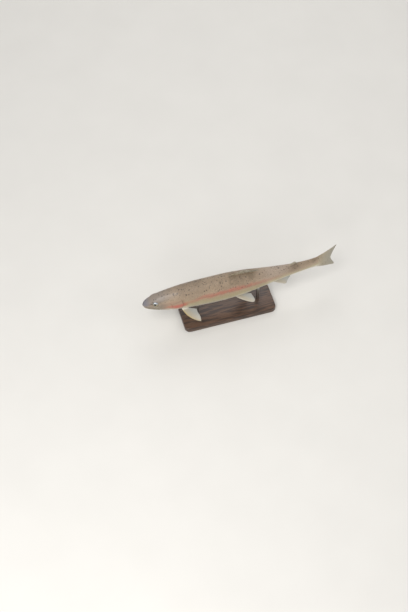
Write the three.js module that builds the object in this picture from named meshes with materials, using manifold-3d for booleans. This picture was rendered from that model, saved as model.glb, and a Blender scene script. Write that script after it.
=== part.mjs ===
// A rainbow trout, life size, swimming with its tail turned a little to its right, on a plain stand.
// Millimetres. +X runs from head to tail, -Y is the fish's left side, +Z is up, and the origin is the
// middle of the stand's underside. The fish is drawn straight, cut into its parts, and then bent.
import * as THREE from 'three';
import { mergeVertices } from 'three/addons/utils/BufferGeometryUtils.js';
import Module from 'manifold-3d';

const wasm = await Module();
wasm.setup();

// ---- driving dimensions ----
const GAP = 0.3; // clear space between neighbouring parts
const AXIS_HEIGHT = 86; // the fish's long axis above the floor
const OVER_STAND = 190; // distance from the snout of the section above the middle of the stand
const BODY_RADIUS = 2700; // the body is bent on this wide arc
const TAIL_START = 390; // from here back the tail fin is bent on a tighter one
const TAIL_RADIUS = 330;
const BODY_LENGTH = 400; // snout to the root of the tail fin

// Stations of the body: distance from the snout, the back above the axis, the belly below it, half the
// width, and the height of the widest line as a share of the depth.
const STATIONS = [
  { at: 0, back: 0.5, belly: -1.5, half: 1.5, widest: 0.45 },
  { at: 3, back: 6.2, belly: -6.2, half: 6.2, widest: 0.45 },
  { at: 10, back: 12.4, belly: -11.2, half: 10.8, widest: 0.45 },
  { at: 24, back: 19.6, belly: -17.2, half: 14.6, widest: 0.47 },
  { at: 45, back: 26.4, belly: -23.2, half: 18.4, widest: 0.49 },
  { at: 86, back: 34.2, belly: -30, half: 22, widest: 0.53 },
  { at: 130, back: 38.8, belly: -34.4, half: 22.8, widest: 0.55 },
  { at: 180, back: 40.6, belly: -35.8, half: 22.6, widest: 0.55 },
  { at: 225, back: 37.4, belly: -32, half: 20.8, widest: 0.55 },
  { at: 270, back: 30, belly: -24.8, half: 16.2, widest: 0.54 },
  { at: 310, back: 22.8, belly: -18.6, half: 11.8, widest: 0.53 },
  { at: 350, back: 17, belly: -14.8, half: 8.2, widest: 0.52 },
  { at: 376, back: 15.6, belly: -14.4, half: 6.2, widest: 0.5 },
  { at: BODY_LENGTH, back: 18.4, belly: -17.6, half: 2.6, widest: 0.5 },
];
const SQUARENESS = 2.15; // exponent of the sections' superellipse; 2 is an ellipse
const RINGS = 42; // sections between snout and tail root, closest together at the snout
const AROUND = 28;

// The head's own cuts.
const GILL_CENTRE = { at: 40, up: -2 }; // the gill opening lies on an arc round this point
const GILL_RADIUS = 46;
const COVER = { front: 20, top: 21, bottom: -76, thickness: 3 }; // front radius, and its two end angles
const MOUTH = { tip: -3.4, corner: { at: 33, up: -9.6 }, throat: { at: 42, up: -26 } };
const EYE = { at: 27, up: 8.6, out: 11.4, radius: 7.6, depth: 3.6, tiltUp: 18, tiltForward: 14 };
const STALK_START = 300; // the tail stalk begins here, level with the anal fin

// The stand.
const BASE = { length: 210, width: 76, height: 12, corner: 12, bevel: 1.5 };
const ROD_RADIUS = 3.5;
const ROD_STATIONS = { front: 122, rear: 262 }; // distances from the snout
const ROD_IN_BODY = 9;
const ROD_IN_BASE = 8;

// ---- numbers along the body ----
// A smooth curve through one column of STATIONS that never overshoots between two of them.
function station(column, at) {
  const s = STATIONS;
  const last = s.length - 2;
  let i = 0;
  while (i < last && at > s[i + 1].at) i += 1;
  const rise = (k) => (s[k + 1][column] - s[k][column]) / (s[k + 1].at - s[k].at);
  const slope = (k) => {
    if (k === 0) return rise(0);
    if (k === s.length - 1) return rise(k - 1);
    const [a, b] = [rise(k - 1), rise(k)];
    return a * b > 0 ? (2 * a * b) / (a + b) : 0;
  };
  const h = s[i + 1].at - s[i].at;
  const t = Math.min(Math.max((at - s[i].at) / h, 0), 1);
  const [p, q] = [s[i][column], s[i + 1][column]];
  return p * (1 + 2 * t) * (1 - t) ** 2 + h * slope(i) * t * (1 - t) ** 2
    + q * t * t * (3 - 2 * t) + h * slope(i + 1) * t * t * (t - 1);
}

// A point of the straight fish's skin: angle 0 is its right side, 90 degrees its back. Grow moves the
// skin out or in.
function skin(at, angle, grow) {
  const back = station('back', at);
  const belly = station('belly', at);
  const middle = belly + (back - belly) * station('widest', at);
  const [c, s] = [Math.cos(angle), Math.sin(angle)];
  const reach = (Math.abs(c) ** SQUARENESS + Math.abs(s) ** SQUARENESS) ** (-1 / SQUARENESS);
  const rise = (s > 0 ? back - middle : middle - belly) + grow;
  return new THREE.Vector3(at, (station('half', at) + grow) * c * reach, middle + rise * s * reach);
}

// Moves a point of the straight fish to where the bent fish has it.
function bend(point) {
  const turn = (Math.min(point.x, TAIL_START) - OVER_STAND) / BODY_RADIUS;
  const end = turn + Math.max(point.x - TAIL_START, 0) / TAIL_RADIUS;
  const x = BODY_RADIUS * Math.sin(turn) + TAIL_RADIUS * (Math.sin(end) - Math.sin(turn));
  const y = BODY_RADIUS * (1 - Math.cos(turn)) + TAIL_RADIUS * (Math.cos(turn) - Math.cos(end));
  point.set(x - Math.sin(end) * point.y, y + Math.cos(end) * point.y, point.z + AXIS_HEIGHT);
}

// ---- geometry and solids ----
// Merges a closed geometry's shared corners, moves each one, and makes its faces point outwards.
function shaped(geometry, move = () => {}) {
  geometry.deleteAttribute('normal');
  geometry.deleteAttribute('uv');
  const merged = mergeVertices(geometry, 1e-5);
  const place = merged.attributes.position;
  const p = new THREE.Vector3();
  for (let i = 0; i < place.count; i += 1) {
    move(p.fromBufferAttribute(place, i));
    place.setXYZ(i, p.x, p.y, p.z);
  }
  const index = merged.index.array;
  const corners = [new THREE.Vector3(), new THREE.Vector3(), new THREE.Vector3()];
  let volume = 0;
  for (let i = 0; i < index.length; i += 3) {
    corners.forEach((corner, k) => corner.fromBufferAttribute(place, index[i + k]));
    volume += corners[0].dot(corners[1].cross(corners[2]));
  }
  if (volume < 0) index.reverse();
  return merged;
}

function solid(geometry) {
  return new wasm.Manifold(new wasm.Mesh({
    numProp: 3,
    vertProperties: new Float32Array(geometry.attributes.position.array),
    triVerts: new Uint32Array(geometry.index.array),
  }));
}

function geometryOf(manifold) {
  const { vertProperties, triVerts } = manifold.getMesh();
  const geometry = new THREE.BufferGeometry();
  geometry.setAttribute('position', new THREE.BufferAttribute(vertProperties, 3));
  geometry.setIndex(new THREE.BufferAttribute(triVerts, 1));
  return geometry;
}

// The whole body from snout to tail root, as a sphere whose rings are moved to the body's sections.
function bodySolid(grow) {
  const sphere = new THREE.SphereGeometry(1, AROUND, RINGS);
  return solid(shaped(sphere, (p) => {
    const share = (Math.acos(p.y) / Math.PI) * (RINGS / (RINGS - 1));
    const at = BODY_LENGTH * (1 - Math.cos((share * Math.PI) / 2));
    if (p.y > 1 - 1e-6) p.set(-grow, 0, station('back', 0) + station('belly', 0));
    else if (p.y < 1e-6 - 1) p.set(BODY_LENGTH + grow, 0, 0);
    else p.copy(skin(at, Math.atan2(p.z, p.x), grow));
  }));
}

// A side-view outline, carried from one distance across the fish to another.
function prism(shape, from, to) {
  const settings = { depth: to - from, bevelEnabled: false, curveSegments: 20 };
  const geometry = new THREE.ExtrudeGeometry(shape, settings);
  geometry.rotateX(Math.PI / 2);
  geometry.translate(0, to, 0);
  return solid(shaped(geometry));
}

function outline(...points) {
  return new THREE.Shape(points.map(([at, up]) => new THREE.Vector2(at, up)));
}

const THROUGH = 60; // beyond the body on every side

// Everything in front of the gill opening.
function headSpace(grow) {
  const shape = new THREE.Shape();
  shape.moveTo(-THROUGH, -THROUGH);
  shape.lineTo(GILL_CENTRE.at, -THROUGH);
  shape.absarc(GILL_CENTRE.at, GILL_CENTRE.up, GILL_RADIUS + grow, -Math.PI / 2, Math.PI / 2);
  shape.lineTo(GILL_CENTRE.at, THROUGH);
  shape.lineTo(-THROUGH, THROUGH);
  return prism(shape, -THROUGH, THROUGH);
}

// The lower jaw, under the line of the mouth.
function jawSpace(grow) {
  const { tip, corner, throat } = MOUTH;
  return prism(outline(
    [-THROUGH, tip + grow],
    [0, tip + grow],
    [corner.at + grow, corner.up + grow],
    [throat.at + grow, throat.up],
    [throat.at + grow, -THROUGH],
    [-THROUGH, -THROUGH],
  ), -THROUGH, THROUGH);
}

// One gill cover's place: a fan round the centre of the gill opening's arc, reaching out past that arc.
function coverSpace(side, grow) {
  const [low, high] = [COVER.bottom, COVER.top].map(THREE.MathUtils.degToRad);
  const spread = grow / COVER.front;
  const shape = new THREE.Shape();
  shape.absarc(GILL_CENTRE.at, GILL_CENTRE.up, COVER.front - grow, low - spread, high + spread);
  shape.absarc(GILL_CENTRE.at, GILL_CENTRE.up, THROUGH, high + spread, low - spread, true);
  return prism(shape, side < 0 ? -THROUGH : 1, side < 0 ? -1 : THROUGH);
}

function eyeBall(side, grow) {
  const ball = new THREE.SphereGeometry(1, 18, 10);
  ball.rotateX(Math.PI / 2);
  ball.rotateZ(Math.PI / 2);
  ball.rotateX(Math.PI / 2);
  ball.scale(EYE.radius + grow, EYE.depth + grow, EYE.radius + grow);
  ball.rotateX(side * THREE.MathUtils.degToRad(EYE.tiltUp));
  ball.rotateZ(side * THREE.MathUtils.degToRad(EYE.tiltForward));
  ball.translate(EYE.at, side * EYE.out, EYE.up);
  return solid(shaped(ball));
}

// ---- fins ----
// Each fin is a plate of rays. Its roots run from `lead` to `trail` just under the skin, its first and
// last rays are `first` and `last`, `edge` says how much of its length a ray keeps at share s, and
// `bulge` is how far the middle of the first ray curves away from a straight line.
const ROOT_DEPTH = 3; // how far under the skin a fin of the back or belly is rooted
const backRoot = (at) => new THREE.Vector3(at, 0, station('back', at) - ROOT_DEPTH);
const bellyRoot = (at) => new THREE.Vector3(at, 0, station('belly', at) + ROOT_DEPTH);
const rounded = (s) => 1 - 0.16 * (1 - s) ** 7;

const FINS = {
  dorsal_fin: {
    lead: backRoot(187), trail: backRoot(243), first: [42, -5, 17], last: [19, -2, 4],
    edge: (s) => rounded(s) - 0.1 * Math.sin(Math.PI * s), thick: 3, cells: [12, 5],
  },
  adipose_fin: {
    lead: backRoot(328), trail: backRoot(338), first: [19, 0, 12], last: [12, 0, 4],
    edge: (s) => 1 - 0.2 * (1 - s) ** 3, thick: 2.8, cells: [5, 5],
  },
  anal_fin: {
    lead: bellyRoot(285), trail: bellyRoot(320), first: [45, -6, -24], last: [18, 0, -8],
    edge: (s) => rounded(s) - 0.08 * Math.sin(Math.PI * s), thick: 3, cells: [10, 5],
  },
  caudal_fin: {
    lead: new THREE.Vector3(397, 0, 17.6), trail: new THREE.Vector3(397, 0, -16.6),
    first: [53, 0, 19], last: [52, 0, -20],
    edge: (s) => 1 - 0.3 * (1 - Math.abs(2 * s - 1) ** 1.6) - 0.06 * Math.abs(2 * s - 1) ** 14,
    thick: 5.4, cells: [16, 6],
  },
  pectoral_fin: {
    lead: new THREE.Vector3(83.5, 15, -20), trail: new THREE.Vector3(96, 12, -27),
    first: [38, 37, -18], last: [20, 5, -5], bulge: [-5, 2, -3.5],
    edge: (s) => 1 - 0.1 * (1 - s) ** 6, thick: 3, cells: [10, 6],
  },
  pelvic_fin: {
    lead: new THREE.Vector3(203, 10, -26), trail: new THREE.Vector3(215, 6, -28),
    first: [43, 22, -17], last: [28, 4, -6], bulge: [-1, 1.5, -1],
    edge: (s) => rounded(s) + 0.06 * Math.sin(Math.PI * s), thick: 3, cells: [9, 5],
  },
};
const FIN_EDGE = 0.7; // thickness at a fin's free edge

function finSolid({ lead, trail, first, last, edge, thick, cells, bulge = [0, 0, 0] }, side = 1) {
  const [one, two] = [new THREE.Vector3(...first), new THREE.Vector3(...last)];
  const across = new THREE.Vector3().crossVectors(one, trail.clone().sub(lead)).normalize();
  const curve = new THREE.Vector3(...bulge);
  const ray = new THREE.Vector3();
  const plate = new THREE.BoxGeometry(1, 1, 1, cells[0], cells[1], 1);
  return solid(shaped(plate, (p) => {
    const [s, t, face] = [p.x + 0.5, p.y + 0.5, p.z * 2];
    ray.lerpVectors(one, two, s).multiplyScalar(edge(s) * t);
    const half = (FIN_EDGE + (thick - FIN_EDGE) * (1 - t) ** 1.4) / 2;
    p.lerpVectors(lead, trail, s).add(ray).addScaledVector(across, face * half);
    p.addScaledVector(curve, 4 * t * (1 - t) * (1 - s));
    p.y *= side;
  }));
}

// ---- the straight fish, cut into its parts ----
const body = bodySolid(0);
const clear = bodySolid(GAP);
const parts = {};

function buildHead() {
  const core = bodySolid(-COVER.thickness);
  const deeper = bodySolid(-COVER.thickness - GAP);
  const front = body.intersect(headSpace(-GAP / 2));
  parts.lower_jaw = front.intersect(jawSpace(-GAP / 2));
  parts.head = front.subtract(jawSpace(GAP / 2));
  for (const [name, side] of [['left', -1], ['right', 1]]) {
    parts[`gill_cover_${name}`] = front.intersect(coverSpace(side, -GAP)).subtract(core);
    parts[`eye_${name}`] = eyeBall(side, 0);
    parts.head = parts.head.subtract(coverSpace(side, 0).subtract(deeper)).subtract(eyeBall(side, GAP));
  }
}

function buildTrunkAndStalk() {
  const rear = body.subtract(headSpace(GAP / 2));
  const cut = (from, to) => prism(outline(
    [from, -THROUGH], [to, -THROUGH], [to, THROUGH], [from, THROUGH],
  ), -THROUGH, THROUGH);
  parts.trunk = rear.intersect(cut(0, STALK_START - GAP / 2));
  parts.tail_stalk = rear.intersect(cut(STALK_START + GAP / 2, BODY_LENGTH + THROUGH));
}

function buildFins() {
  for (const name of ['dorsal_fin', 'adipose_fin', 'anal_fin', 'caudal_fin']) {
    parts[name] = finSolid(FINS[name]).subtract(clear);
  }
  for (const name of ['pectoral_fin', 'pelvic_fin']) {
    parts[`${name}_left`] = finSolid(FINS[name], -1).subtract(clear);
    parts[`${name}_right`] = finSolid(FINS[name], 1).subtract(clear);
  }
}

// ---- the stand ----
function baseSolid() {
  const { length, width, height, corner, bevel } = BASE;
  const [x, y] = [length / 2, width / 2];
  const shape = new THREE.Shape();
  shape.absarc(x - corner, y - corner, corner, 0, Math.PI / 2);
  shape.absarc(corner - x, y - corner, corner, Math.PI / 2, Math.PI);
  shape.absarc(corner - x, corner - y, corner, Math.PI, 1.5 * Math.PI);
  shape.absarc(x - corner, corner - y, corner, 1.5 * Math.PI, 2 * Math.PI);
  const slab = new THREE.ExtrudeGeometry(shape, {
    depth: height - 2 * bevel, bevelThickness: bevel, bevelSize: bevel, bevelOffset: -bevel,
    bevelSegments: 1, curveSegments: 5,
  });
  slab.translate(0, 0, bevel);
  return solid(shaped(slab));
}

function rodSolid(at, grow) {
  const foot = new THREE.Vector3(at, 0, 0);
  bend(foot);
  const low = BASE.height - ROD_IN_BASE - grow;
  const high = AXIS_HEIGHT + station('belly', at) + ROD_IN_BODY + grow;
  const rod = new THREE.CylinderGeometry(ROD_RADIUS + grow, ROD_RADIUS + grow, high - low, 24);
  rod.rotateX(Math.PI / 2);
  rod.translate(foot.x, foot.y, (low + high) / 2);
  return solid(shaped(rod));
}

// ---- finishes: colour, roughness, metalness ----
const FINISHES = {
  back: [0x8d8468, 0.42, 0],
  flank: [0xa39a7c, 0.4, 0],
  cheek: [0xb5766a, 0.38, 0],
  fin: [0xb9ac92, 0.5, 0],
  pale_fin: [0xd2c6ae, 0.5, 0],
  eye: [0x8a6d3a, 0.12, 0],
  stand: [0x4a4642, 0.55, 0],
  rod: [0xb4b2ac, 0.3, 1],
};
const FINISH_OF = {
  head: 'back', lower_jaw: 'flank', gill_cover_left: 'cheek', gill_cover_right: 'cheek',
  eye_left: 'eye', eye_right: 'eye', trunk: 'back', tail_stalk: 'flank',
  dorsal_fin: 'fin', adipose_fin: 'fin', caudal_fin: 'fin', anal_fin: 'pale_fin',
  pectoral_fin_left: 'pale_fin', pectoral_fin_right: 'pale_fin',
  pelvic_fin_left: 'pale_fin', pelvic_fin_right: 'pale_fin',
  stand_base: 'stand', stand_rod_front: 'rod', stand_rod_rear: 'rod',
};

function meshOf(name, geometry) {
  const [color, roughness, metalness] = FINISHES[FINISH_OF[name]];
  const mesh = new THREE.Mesh(geometry, new THREE.MeshStandardMaterial({ color, roughness, metalness }));
  mesh.name = name;
  return mesh;
}

// ---- assembly ----
buildHead();
buildTrunkAndStalk();
buildFins();

const fish = new THREE.Group();
for (const [name, part] of Object.entries(parts)) {
  let geometry = shaped(geometryOf(part), bend);
  if (name === 'trunk') {
    const socketed = Object.values(ROD_STATIONS)
      .reduce((trunk, at) => trunk.subtract(rodSolid(at, GAP)), solid(geometry));
    geometry = geometryOf(socketed);
  }
  fish.add(meshOf(name, geometry));
}

const stand = new THREE.Group();
let base = baseSolid();
for (const [name, at] of Object.entries(ROD_STATIONS)) {
  base = base.subtract(rodSolid(at, GAP));
  stand.add(meshOf(`stand_rod_${name}`, geometryOf(rodSolid(at, 0))));
}
stand.add(meshOf('stand_base', geometryOf(base)));

const model = new THREE.Group();
model.add(fish, stand);

export default model;
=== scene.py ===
"""A rainbow trout, life size, swimming over a plain display stand.

The fish is shaped straight, in millimetres: u runs from the snout to the tail, y to its right and z up
from its long axis. Then it is bent and set over the stand in metres.
"""
import math

import bpy
import numpy as np
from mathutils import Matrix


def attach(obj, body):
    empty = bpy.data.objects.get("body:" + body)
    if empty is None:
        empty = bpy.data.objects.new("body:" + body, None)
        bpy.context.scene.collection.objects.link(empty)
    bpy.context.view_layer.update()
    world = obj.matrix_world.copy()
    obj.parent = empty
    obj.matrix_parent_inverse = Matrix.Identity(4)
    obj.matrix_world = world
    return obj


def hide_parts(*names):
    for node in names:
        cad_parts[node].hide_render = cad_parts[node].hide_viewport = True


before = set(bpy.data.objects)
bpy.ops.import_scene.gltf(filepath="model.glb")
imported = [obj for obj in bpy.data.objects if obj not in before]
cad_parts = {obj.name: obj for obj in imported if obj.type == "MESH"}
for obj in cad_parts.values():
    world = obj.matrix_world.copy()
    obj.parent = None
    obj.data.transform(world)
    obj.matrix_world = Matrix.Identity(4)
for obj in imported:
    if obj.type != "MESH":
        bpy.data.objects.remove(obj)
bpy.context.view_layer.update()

# ---- driving dimensions, in millimetres ----
MM = 0.001
AXIS_HEIGHT = 86  # the fish's long axis above the floor
OVER_STAND = 190  # distance from the snout of the section above the middle of the stand
BODY_RADIUS = 2700  # the body is bent on this wide arc
TAIL_START = 390  # from here back the tail fin is bent on a tighter one
TAIL_RADIUS = 330
BODY_LENGTH = 400  # snout to the root of the tail fin
SQUARENESS = 2.15  # exponent of the sections' superellipse; 2 is an ellipse
COAT_DEPTH = 0.3  # the skin lies this far inside the solid body, so that the scales have room

# Stations of the body: distance from the snout, back, belly, half width, and the height of the widest
# line as a share of the depth.
STATIONS = np.array([
    (0, 0.5, -1.5, 1.5, 0.45),
    (3, 6.2, -6.2, 6.2, 0.45),
    (10, 12.4, -11.2, 10.8, 0.45),
    (24, 19.6, -17.2, 14.6, 0.47),
    (45, 26.4, -23.2, 18.4, 0.49),
    (86, 34.2, -30, 22, 0.53),
    (130, 38.8, -34.4, 22.8, 0.55),
    (180, 40.6, -35.8, 22.6, 0.55),
    (225, 37.4, -32, 20.8, 0.55),
    (270, 30, -24.8, 16.2, 0.54),
    (310, 22.8, -18.6, 11.8, 0.53),
    (350, 17, -14.8, 8.2, 0.52),
    (376, 15.6, -14.4, 6.2, 0.5),
    (BODY_LENGTH, 18.4, -17.6, 2.6, 0.5),
])

GILL_CENTRE = (40, -2)  # the gill opening lies on an arc round this point
GILL_RADIUS = 46
GILL_END = GILL_CENTRE[0] + GILL_RADIUS  # how far back the opening reaches
EYE = dict(at=27, up=8.6, out=11.4, radius=7.6, depth=3.6, tilt_up=18, tilt_forward=14)
EYE_OPENING = 6.3  # radius of the skin's opening round the eyeball
LID_RADIUS = 7.5  # from here inwards the lid rounds off onto the eyeball
LID_HEIGHT = 0.5
NOSTRILS = ((13, 7.2, 1.1, 0.85), (15.9, 8.4, 1.2, 0.8))  # distance, height, depth and width of each
DORSAL_ROOT = (187, 243)
ADIPOSE_ROOT = (328, 338)
ANAL_ROOT = (285, 320)
STRIPE_ABOVE = 7.5  # half width of the stripe above its line
STRIPE_BELOW = (6, 9.2)  # and below it, on the cheek and behind
ROD_STATIONS = dict(front=122, rear=262)
ROD_RADIUS = 3.5
ROD_IN_BODY = 9
ROD_IN_BASE = 8
BASE = dict(length=210, width=76, height=12, corner=12, bevel=1.5)


# ---- curves and the body's form ----
def smooth_curve(at, value):
    """A smooth curve through the points that never overshoots between two of them."""
    at, value = np.array(at, float), np.array(value, float)
    slopes = np.diff(value) / np.diff(at)
    a, b = slopes[:-1], slopes[1:]
    between = np.where(a * b > 0, 2 * a * b / np.where(a + b == 0, 1, a + b), 0)
    slope = np.concatenate([slopes[:1], between, slopes[-1:]])

    def read(x):
        i = np.clip(np.searchsorted(at, x, side="right") - 1, 0, len(at) - 2)
        h = at[i + 1] - at[i]
        t = np.clip((x - at[i]) / h, 0, 1)
        return (value[i] * (1 + 2 * t) * (1 - t) ** 2 + h * slope[i] * t * (1 - t) ** 2
                + value[i + 1] * t * t * (3 - 2 * t) + h * slope[i + 1] * t * t * (t - 1))
    return read


back, belly, half_width, widest = (smooth_curve(STATIONS[:, 0], STATIONS[:, k]) for k in range(1, 5))
mouth_line = smooth_curve((0, 8, 20, 33), (-3.2, -4.4, -7, -9.8))
lateral_line = smooth_curve((0, 27, 70, 100, 150, 220, 300, 400), (-1, 4, 14, 13.5, 11, 8.5, 4.5, 0.5))
stripe_line = smooth_curve(
    (40, 70, 86, 105, 130, 170, 210, 250, 300), (-4, -1.5, 1, 7, 12.5, 14.5, 14, 11, 6))


def rise(low, high, x):
    """0 below low, 1 above high, smooth between."""
    t = np.clip((x - low) / (high - low), 0, 1)
    return t * t * (3 - 2 * t)


def ridge(distance, width):
    """1 at no distance, falling away to 0 on both sides."""
    return np.exp(-(distance / width) ** 2)


def bend(p):
    """Places of the straight fish, in millimetres, moved to the bent fish over its stand, in metres."""
    turn = (np.minimum(p[:, 0], TAIL_START) - OVER_STAND) / BODY_RADIUS
    end = turn + np.maximum(p[:, 0] - TAIL_START, 0) / TAIL_RADIUS
    x = BODY_RADIUS * np.sin(turn) + TAIL_RADIUS * (np.sin(end) - np.sin(turn))
    y = BODY_RADIUS * (1 - np.cos(turn)) + TAIL_RADIUS * (np.cos(turn) - np.cos(end))
    x, y = x - np.sin(end) * p[:, 1], y + np.cos(end) * p[:, 1]
    return np.stack([x, y, p[:, 2] + AXIS_HEIGHT], 1) * MM


def section(u, share, grow=-COAT_DEPTH):
    """Points on one side of the body, each at a share of the way up the half girth, and half girths."""
    angles = np.radians(np.linspace(-90, 90, 73))
    c, s = np.cos(angles), np.sin(angles)
    reach = (np.abs(c) ** SQUARENESS + np.abs(s) ** SQUARENESS) ** (-1 / SQUARENESS)
    middle = belly(u) + (back(u) - belly(u)) * widest(u)
    side = (half_width(u) + grow)[:, None] * c * reach
    height = np.where(s > 0, (back(u) - middle)[:, None], (middle - belly(u))[:, None]) + grow
    up = height * s * reach + middle[:, None]
    along = np.cumsum(np.hypot(np.diff(side), np.diff(up)), 1)
    along = np.concatenate([np.zeros((len(u), 1)), along], 1)
    want = share * along[:, -1]
    i = np.clip((along < want[:, None]).sum(1) - 1, 0, along.shape[1] - 2)
    row = np.arange(len(u))
    t = (want - along[row, i]) / np.maximum(along[row, i + 1] - along[row, i], 1e-9)
    there = [grid[row, i] + (grid[row, i + 1] - grid[row, i]) * t for grid in (side, up)]
    return np.stack([u, *there], 1), along[:, -1]


def gill_line(up):
    """How far back the gill opening lies at a height."""
    return GILL_CENTRE[0] + np.sqrt(np.maximum(GILL_RADIUS ** 2 - (up - GILL_CENTRE[1]) ** 2, 0))


# ---- mesh helpers ----
def deselect():
    if bpy.context.object and bpy.context.object.mode != "OBJECT":
        bpy.ops.object.mode_set(mode="OBJECT")
    bpy.ops.object.select_all(action="DESELECT")


def pick_only(piece):
    deselect()
    piece.select_set(True)
    bpy.context.view_layer.objects.active = piece


def added(name):
    """Names the primitive that was just added."""
    piece = bpy.context.object
    piece.name = piece.data.name = name
    return piece


def edit(piece, operator, **settings):
    """Runs an edit-mode operator on the whole of a piece."""
    pick_only(piece)
    bpy.ops.object.mode_set(mode="EDIT")
    bpy.ops.mesh.select_all(action="SELECT")
    operator(**settings)
    bpy.ops.object.mode_set(mode="OBJECT")


def face_outwards(piece):
    edit(piece, bpy.ops.mesh.normals_make_consistent, inside=False)


def apply_modifier(piece, kind, **settings):
    pick_only(piece)
    modifier = piece.modifiers.new(kind.lower(), kind)
    for key, value in settings.items():
        setattr(modifier, key, value)
    bpy.ops.object.modifier_apply(modifier=modifier.name)


def places(piece):
    found = np.empty(len(piece.data.vertices) * 3)
    piece.data.vertices.foreach_get("co", found)
    return found.reshape(-1, 3)


def place(piece, points):
    piece.data.vertices.foreach_set("co", np.ascontiguousarray(points, float).ravel())
    piece.data.update()


def normals(piece):
    found = np.empty(len(piece.data.vertices) * 3)
    piece.data.vertices.foreach_get("normal", found)
    return found.reshape(-1, 3)


def store(piece, name, values):
    """Keeps a value, or three, on every vertex for the finishes to read."""
    values = np.asarray(values, float)
    kind, key = ("FLOAT", "value") if values.ndim == 1 else ("FLOAT_VECTOR", "vector")
    layer = piece.data.attributes.new(name, kind, "POINT")
    layer.data.foreach_set(key, np.ascontiguousarray(values).ravel())


def smooth(piece):
    piece.data.shade_smooth()


def store_lie(piece, p):
    """Keeps each vertex's place on the straight fish, its height and how far it is from the stripe.

    Height runs from the belly (-1) to the back (1), and the stripe's edges lie 1 from its line.
    """
    u, up = p[:, 0], p[:, 2]
    line = lateral_line(u)
    above = (up - line) / np.maximum(back(u) - line, 1)
    below = (up - line) / np.maximum(line - belly(u), 1)
    store(piece, "place", p * MM)
    store(piece, "height", np.clip(np.where(up > line, above, below), -1.2, 1.2))
    aside = up - stripe_line(u)
    on_cheek, behind = STRIPE_BELOW
    half = np.where(aside > 0, STRIPE_ABOVE, on_cheek + (behind - on_cheek) * rise(45, 80, u))
    store(piece, "stripe", aside / half)


# ---- the eye ----
def eye_frame(side):
    """The eyeball's middle and its three directions: tailward, up and out of the head."""
    up, forward = math.radians(EYE["tilt_up"]), math.radians(EYE["tilt_forward"])
    flat = math.cos(up)
    out = np.array([-flat * math.sin(forward), side * flat * math.cos(forward), math.sin(up)])
    tailward = np.array([math.cos(forward), side * math.sin(forward), 0])
    upward = np.cross(out, tailward) * -side
    return np.array([EYE["at"], side * EYE["out"], EYE["up"]]), tailward, upward, out


def sink_socket(p):
    """Fits the skin round each eyeball: a rounded lid that lies on it, and a socket sunk under it."""
    for side in (-1, 1):
        middle, tailward, upward, out = eye_frame(side)
        d = p - middle
        away = np.hypot(d @ tailward, d @ upward)
        height = d @ out
        near = (away < 13) & (p[:, 1] * side > 2)
        edge = EYE["depth"] * math.sqrt(1 - (EYE_OPENING / EYE["radius"]) ** 2)
        lid = edge + LID_HEIGHT * np.sqrt(np.clip(1 - ((LID_RADIUS - away) / 1.25) ** 2, 0, 1))
        lid = np.where(away > LID_RADIUS, edge + LID_HEIGHT, lid)
        fitted = height + (lid - height) * (1 - rise(7.3, 11, away))
        groove = 0.3 * ridge(away - 8.9, 0.7)
        sunk = np.clip((EYE_OPENING + 0.05 - away) * 2.2, 0, 3)
        p[near] += ((fitted - groove - sunk - height)[:, None] * out)[near]
    return p


# ---- the skin ----
HEAD_RING_PITCH = 0.44
BODY_RING_PITCH = 4.2
COLUMNS = 200
MOUTH_COLUMN = 34  # this line of vertices, counted up from the belly, follows the mouth
COVER_STEP = 1.25  # height of the gill cover's edge over the skin behind it


def ring_places():
    """Distances of the skin's rings from the snout: fine on the head, finest at the gill opening."""
    tip = [0.0375 * k * k for k in range(1, 7)]
    head = np.arange(1.8, GILL_END - 1.7, HEAD_RING_PITCH)
    lip = GILL_END + np.array([-1.4, -0.9, -0.5, -0.2, 0, 0.06, 0.4, 1, 2, 3.2, 4.6])
    return np.concatenate([tip, head, lip, np.arange(GILL_END + 7, BODY_LENGTH, BODY_RING_PITCH)])


def step(value, at, width=0.7):
    """1 before the place and 0 after it, across a short slope."""
    return 1 - rise(at - width / 2, at + width / 2, value)


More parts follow.
